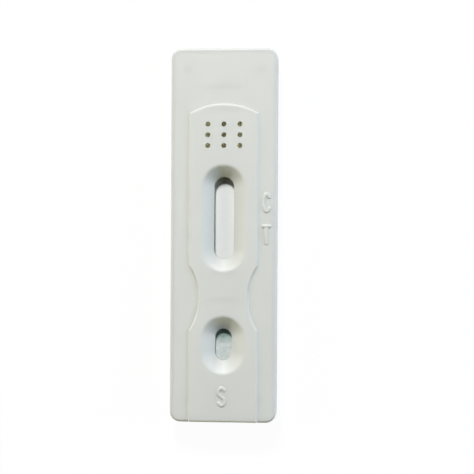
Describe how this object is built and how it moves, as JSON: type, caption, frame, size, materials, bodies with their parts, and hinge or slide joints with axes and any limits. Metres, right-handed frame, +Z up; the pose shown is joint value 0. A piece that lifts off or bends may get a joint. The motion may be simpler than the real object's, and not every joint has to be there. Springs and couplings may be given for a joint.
{
  "type": "lateral flow cassette",
  "caption": "Slim two-shell plastic cassette around a lateral flow test strip, with a sloped result window, a sample well and vent holes.",
  "frame": {"origin": "centre of the flat underside of the case", "axes": "+Z up out of the printed side, +Y along the case towards the vent holes, +X across it to the right when the sample well is nearest"},
  "size_m": [0.02, 0.07, 0.005],
  "materials": {
    "case_plastic": "satin moulded white polystyrene",
    "card_plastic": "smooth sheet plastic",
    "membrane": "matt porous film",
    "glass_fibre": "matt glass fibre mat",
    "sample_fibre": "matt cellulose fibre mat",
    "cotton_fibre": "matt blotting fibre"
  },
  "bodies": {
    "root": {"top_cover": "case_plastic", "bottom_housing": "case_plastic", "backing_card": "card_plastic", "nitrocellulose_membrane": "membrane", "conjugate_pad": "glass_fibre", "sample_pad": "sample_fibre", "absorbent_pad": "cotton_fibre"}
  },
  "joints": []
}
